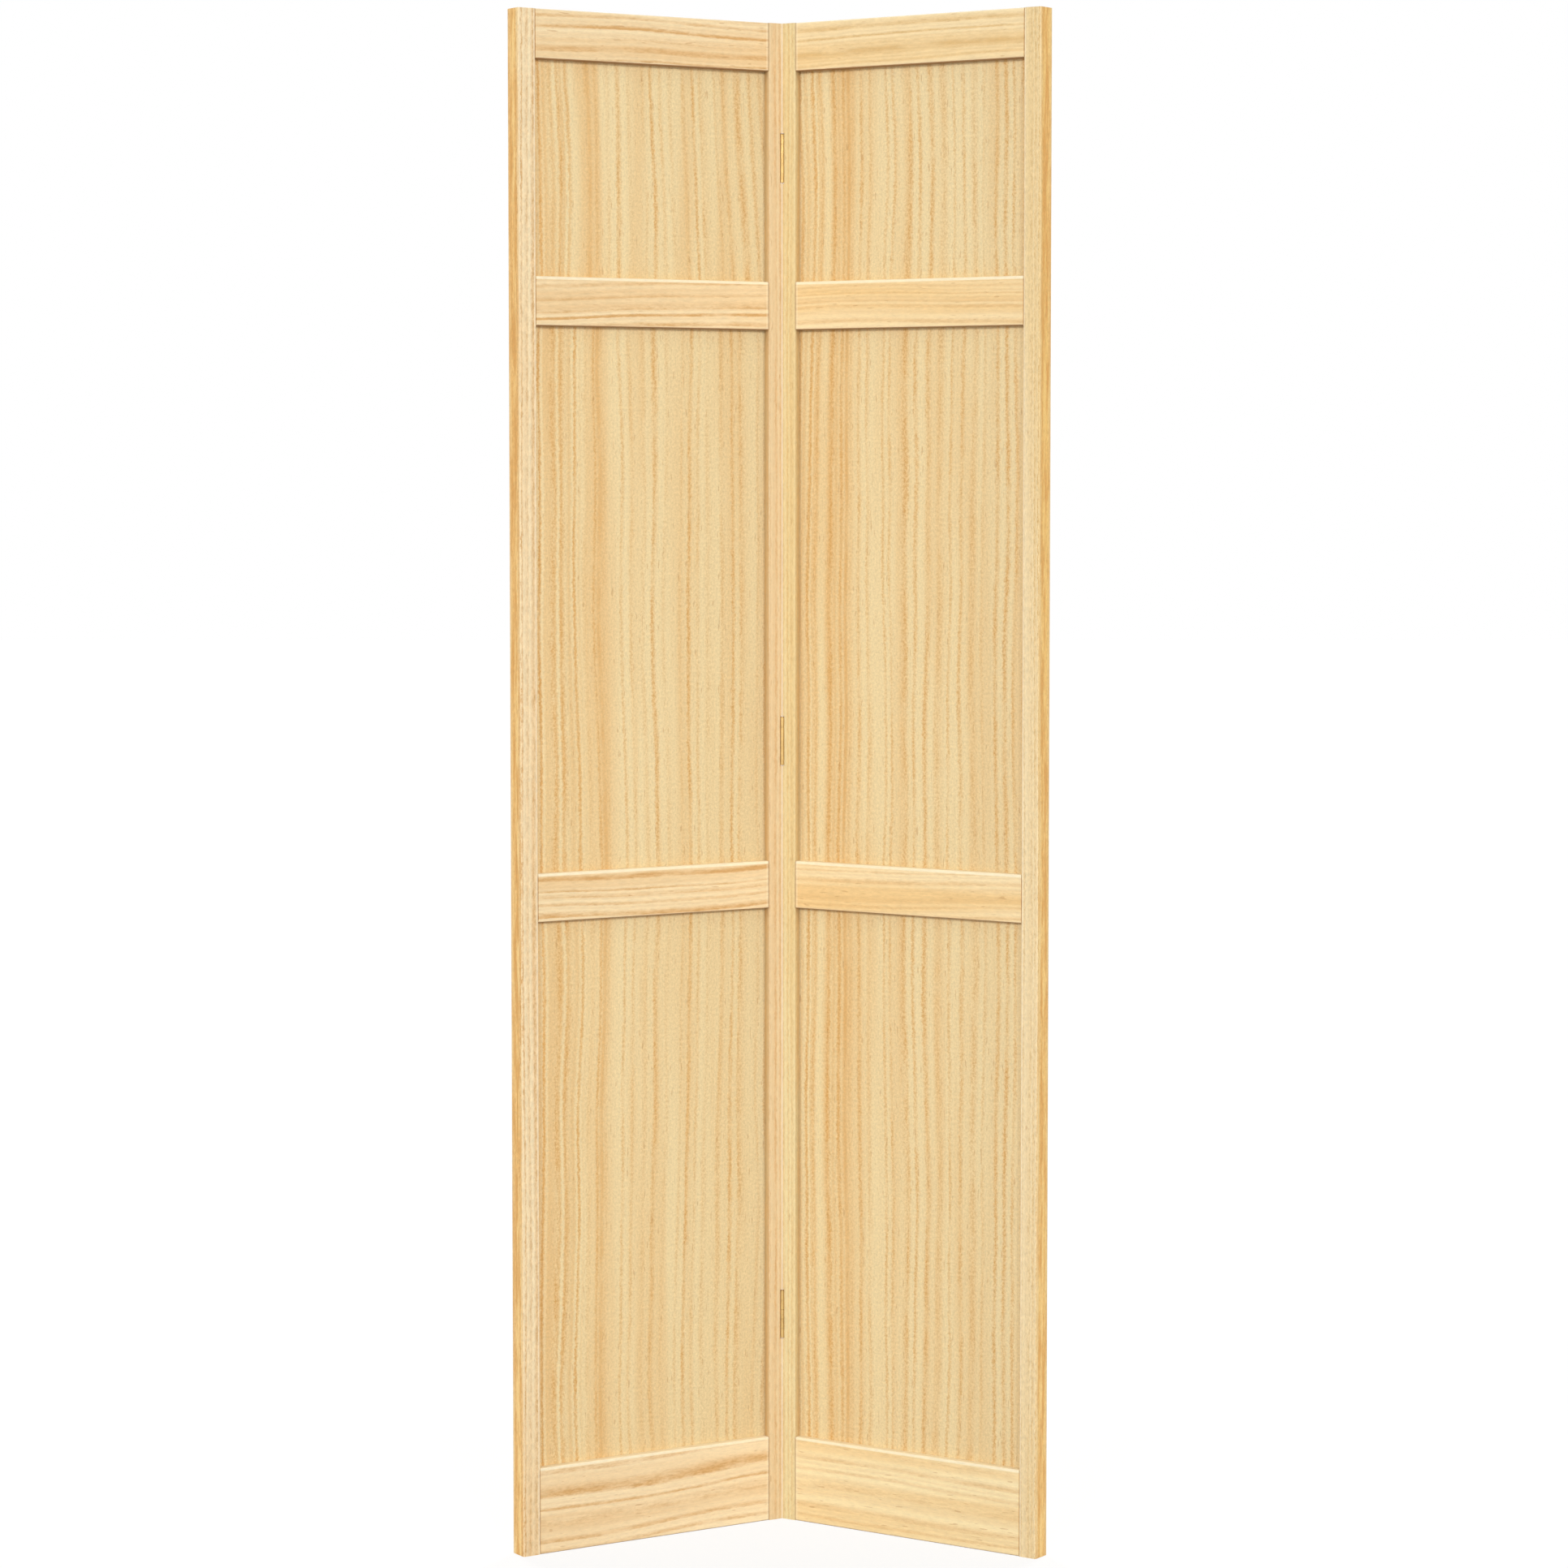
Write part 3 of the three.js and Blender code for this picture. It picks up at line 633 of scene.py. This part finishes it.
def screw_tree(material):
    """Wood screws, one on each point of a mesh: a countersunk head with a cross recess, a shank, a thread and
    a tip. A screw is built head up, with the middle of its head at the point."""
    tree = bpy.data.node_groups.new("wood_screws", "GeometryNodeTree")
    tree.interface.new_socket("Points", in_out="INPUT", socket_type="NodeSocketGeometry")
    for label in SCREW:
        tree.interface.new_socket(label, in_out="INPUT", socket_type="NodeSocketFloat")
    tree.interface.new_socket("Facing", in_out="INPUT", socket_type="NodeSocketVector")
    tree.interface.new_socket("Seed", in_out="INPUT", socket_type="NodeSocketInt")
    tree.interface.new_socket("Screws", in_out="OUTPUT", socket_type="NodeSocketGeometry")
    given = tree.nodes.new("NodeGroupInput").outputs
    result = tree.nodes.new("NodeGroupOutput").inputs

    def make(kind, values, **settings):
        node = tree.nodes.new(kind)
        for name, value in settings.items():
            setattr(node, name, value)
        for label, value in values.items():
            feed(tree, node.inputs[label], value)
        return node

    def cone(sides, top, bottom, depth, height):
        """A cone or a tapered rod, with its underside at a height."""
        sizes = {"Vertices": sides, "Radius Top": top, "Radius Bottom": bottom, "Depth": depth}
        return at_height(make("GeometryNodeMeshCone", sizes).outputs["Mesh"], height)

    def at_height(mesh, height):
        offset = vector_of(tree, z=height)
        return make("GeometryNodeTransform", {"Geometry": mesh, "Translation": offset}).outputs[0]

    # Head, with the cross cut out of it
    head_radius = times(tree, given["Head diameter"], 0.5)
    shank_radius = times(tree, given["Shank diameter"], 0.5)
    head_end = less(tree, 0.0, given["Head depth"])
    head = cone(HEAD_SIDES, head_radius, shank_radius, given["Head depth"], head_end)
    recess_height = times(tree, given["Recess depth"], 2)
    arm = vector_of(tree, given["Recess reach"], given["Recess width"], recess_height)
    first_arm = make("GeometryNodeMeshCube", {"Size": arm}).outputs["Mesh"]
    quarter_turn = (0, 0, math.pi / 2)
    second_arm = make("GeometryNodeTransform", {"Geometry": first_arm, "Rotation": quarter_turn}).outputs[0]
    cut = make("GeometryNodeMeshBoolean", {"Mesh 1": head}, operation="DIFFERENCE", solver="EXACT")
    tree.links.new(first_arm, cut.inputs["Mesh 2"])
    tree.links.new(second_arm, cut.inputs["Mesh 2"])
    head = cut.outputs["Mesh"]

    # Shank and tip
    thin_radius = times(tree, shank_radius, SHANK_TAPER)
    shank_length = less(tree, less(tree, given["Length"], given["Head depth"]), given["Tip length"])
    shank_end = less(tree, head_end, shank_length)
    shank = cone(SHANK_SIDES, shank_radius, thin_radius, shank_length, shank_end)
    tip_end = less(tree, 0.0, given["Length"])
    tip = cone(SHANK_SIDES, thin_radius, TIP_RADIUS, given["Tip length"], tip_end)

    # Thread along the shank
    turns = maths(tree, "DIVIDE", shank_length, given["Thread pitch"])
    threaded = times(tree, shank_length, THREADED_SHARE)
    path = {"Resolution": THREAD_STEPS, "Rotations": turns, "Height": threaded}
    path.update({"Start Radius": shank_radius, "End Radius": thin_radius})
    spiral = make("GeometryNodeCurveSpiral", path).outputs["Curve"]
    circle = {"Resolution": THREAD_SIDES, "Radius": given["Thread height"]}
    ridge = make("GeometryNodeCurvePrimitiveCircle", circle).outputs["Curve"]
    swept = {"Curve": spiral, "Profile Curve": ridge, "Fill Caps": True}
    thread = at_height(make("GeometryNodeCurveToMesh", swept).outputs["Mesh"], shank_end)
    screw = make("GeometryNodeJoinGeometry", {})
    for part in (head, shank, tip, thread):
        tree.links.new(part, screw.inputs["Geometry"])

    # Each screw faces out of its hole, and was driven home at an angle of its own
    aim = make("FunctionNodeAlignRotationToVector", {"Vector": given["Facing"]}, axis="Z").outputs["Rotation"]
    chance = make("FunctionNodeRandomValue", {"Seed": given["Seed"]}, data_type="FLOAT")
    angle = times(tree, chance.outputs[1], math.pi)
    spin = make("FunctionNodeAxisAngleToRotation", {"Axis": (0, 0, 1), "Angle": angle}).outputs["Rotation"]
    driven = make("FunctionNodeRotateRotation", {"Rotation": aim, "Rotate By": spin}, rotation_space="LOCAL")
    driven = driven.outputs["Rotation"]
    holes = {"Points": given["Points"], "Instance": screw.outputs[0], "Rotation": driven}
    placed = make("GeometryNodeInstanceOnPoints", holes).outputs["Instances"]
    real = make("GeometryNodeRealizeInstances", {"Geometry": placed}).outputs["Geometry"]
    dressed = make("GeometryNodeSetMaterial", {"Geometry": real, "Material": material})
    feed(tree, result["Screws"], dressed.outputs["Geometry"])
    return tree


# The middle seed of the two sets of screws
SCREW_SEED = 3


def hinge_screws(leaf, tree, material):
    """The nine screws that hold one leaf to its three hinges."""
    side = LEAVES[leaf]
    back = Matrix.Rotation(-side * REST_TURN, 3, "Z")
    outward = side * (LEAF_GAP / 2 + SCREW_SUNK)
    points = []
    for height in HINGE_HEIGHTS:
        for step in (-1, 0, 1):
            spot = Vector((outward, SCREW_INWARD, height + step * SCREW_SPACING))
            points.append(back @ spot + PIN_LINE)
    mesh = bpy.data.meshes.new(f"{leaf}_hinge_screws")
    mesh.from_pydata(points, [], [])
    piece = bpy.data.objects.new(f"{leaf}_hinge_screws", mesh)
    bpy.context.collection.objects.link(piece)
    modifier = piece.modifiers.new("screws", "NODES")
    modifier.node_group = tree
    sockets = {item.name: item.identifier for item in tree.interface.items_tree if item.in_out == "INPUT"}
    for label, value in SCREW.items():
        modifier[sockets[label]] = value
    modifier[sockets["Facing"]] = back @ Vector((-side, 0, 0))
    modifier[sockets["Seed"]] = SCREW_SEED + side
    made = piece.evaluated_get(bpy.context.evaluated_depsgraph_get())
    plain = bpy.data.meshes.new_from_object(made)
    piece.modifiers.remove(modifier)
    piece.data = plain
    dress(piece, material)
    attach(piece, f"{leaf}_leaf")


# Floor, light and camera

WORLD_LIGHT = 0.42
FLOOR_REACH = 30
FLOOR_GREY = (0.62, 0.62, 0.62, 1)
FLOOR_GLOW = 1.165
FLOOR_GLOW_SHARE = 0.72


def white_world():
    """Soft white light from all round. What the camera and shiny surfaces see of it is white."""
    world = bpy.data.worlds.new("studio")
    bpy.context.scene.world = world
    world.use_nodes = True
    tree = world.node_tree
    back = tree.nodes["Background"]
    back.inputs["Color"].default_value = (1, 1, 1, 1)
    ray = tree.nodes.new("ShaderNodeLightPath").outputs
    seen = larger(tree, ray["Is Camera Ray"], ray["Is Glossy Ray"])
    seen = larger(tree, seen, ray["Is Transmission Ray"])
    feed(tree, back.inputs["Strength"], ramp(tree, seen, 0, 1, WORLD_LIGHT, 1, "LINEAR"))


def floor():
    """A pale floor that keeps the door's shadow and meets the white behind it without a line."""
    mesh = bpy.data.meshes.new("studio_floor")
    sheet = bmesh.new()
    bmesh.ops.create_grid(sheet, x_segments=8, y_segments=8, size=FLOOR_REACH)
    sheet.to_mesh(mesh)
    sheet.free()
    ground = bpy.data.objects.new("studio_floor", mesh)
    bpy.context.collection.objects.link(ground)
    material, tree, shader = new_material("studio_floor")
    shader.inputs["Base Color"].default_value = FLOOR_GREY
    shader.inputs["Roughness"].default_value = 0.9
    shader.inputs["Specular IOR Level"].default_value = 0
    glow = tree.nodes.new("ShaderNodeEmission")
    glow.inputs["Strength"].default_value = FLOOR_GLOW
    ray = tree.nodes.new("ShaderNodeLightPath").outputs
    seen = larger(tree, ray["Is Camera Ray"], ray["Is Glossy Ray"])
    mix = tree.nodes.new("ShaderNodeMixShader")
    feed(tree, mix.inputs[0], times(tree, seen, FLOOR_GLOW_SHARE))
    feed(tree, mix.inputs[1], shader.outputs[0])
    feed(tree, mix.inputs[2], glow.outputs[0])
    feed(tree, tree.nodes["Material Output"].inputs["Surface"], mix.outputs[0])
    dress(ground, material)


# Soft lamps. Azimuth 0 is the photographer's side, and 90 the door's right.
LAMPS = {
    "key_left": {"azimuth": -15, "elevation": 17, "strength": 0.595, "spread": 5},
    "key_right": {"azimuth": 15, "elevation": 17, "strength": 0.595, "spread": 5},
    "side_left": {"azimuth": -48, "elevation": 17, "strength": 0.595, "spread": 7},
    "side_right": {"azimuth": 48, "elevation": 17, "strength": 0.595, "spread": 7},
    "back_left": {"azimuth": -155, "elevation": 35, "strength": 1.1, "spread": 16},
    "back_right": {"azimuth": 155, "elevation": 35, "strength": 1.1, "spread": 16},
}


def soft_sun(name, azimuth, elevation, strength, spread):
    """A far lamp that looks as wide as its spread in degrees, so its shadows have soft edges."""
    lamp = bpy.data.lights.new(name, "SUN")
    lamp.energy = strength
    lamp.angle = math.radians(spread)
    held = bpy.data.objects.new(name, lamp)
    bpy.context.collection.objects.link(held)
    turn = math.radians(azimuth)
    rise = math.radians(elevation)
    level = math.cos(rise)
    direction = Vector((math.sin(turn) * level, -math.cos(turn) * level, math.sin(rise)))
    held.rotation_euler = direction.to_track_quat("Z", "Y").to_euler()


# The camera that fits the photographed edges, tilted down a little so that it needs only a small shift
SENSOR_WIDTH = 36
LENS = 102.38
SHIFT = -0.02
SEES_TO = 100
EYE = (0.1026, -5.8587, 1.426)
TILT_DOWN = 3.719
TURN_LEFT = 0.964


def camera():
    data = bpy.data.cameras.new("camera")
    data.sensor_width = SENSOR_WIDTH
    data.lens = LENS
    data.shift_y = SHIFT
    data.clip_end = SEES_TO
    eye = bpy.data.objects.new("camera", data)
    bpy.context.collection.objects.link(eye)
    eye.location = EYE
    eye.rotation_euler = (math.radians(90 - TILT_DOWN), 0, math.radians(TURN_LEFT))
    bpy.context.scene.camera = eye


# Build the scene

dress_boards(pine_group())

beech = beech_material()
hinge_brass = brass_material("hinge_brass", paint(210, 178, 118), paint(190, 158, 102), roughness=0.38)
for name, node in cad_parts.items():
    if name.endswith("_dowel"):
        dress(node, beech)
    if name.endswith("_plate") or name.endswith("_pin"):
        dress(node, hinge_brass)

screw_brass = brass_material("screw_brass", paint(204, 172, 112), paint(176, 146, 92), roughness=0.34)
screws = screw_tree(screw_brass)
for leaf in LEAVES:
    hinge_screws(leaf, screws, screw_brass)

white_world()
floor()
for name, aim in LAMPS.items():
    soft_sun(name, **aim)
camera()

bpy.context.scene.view_settings.view_transform = "Standard"
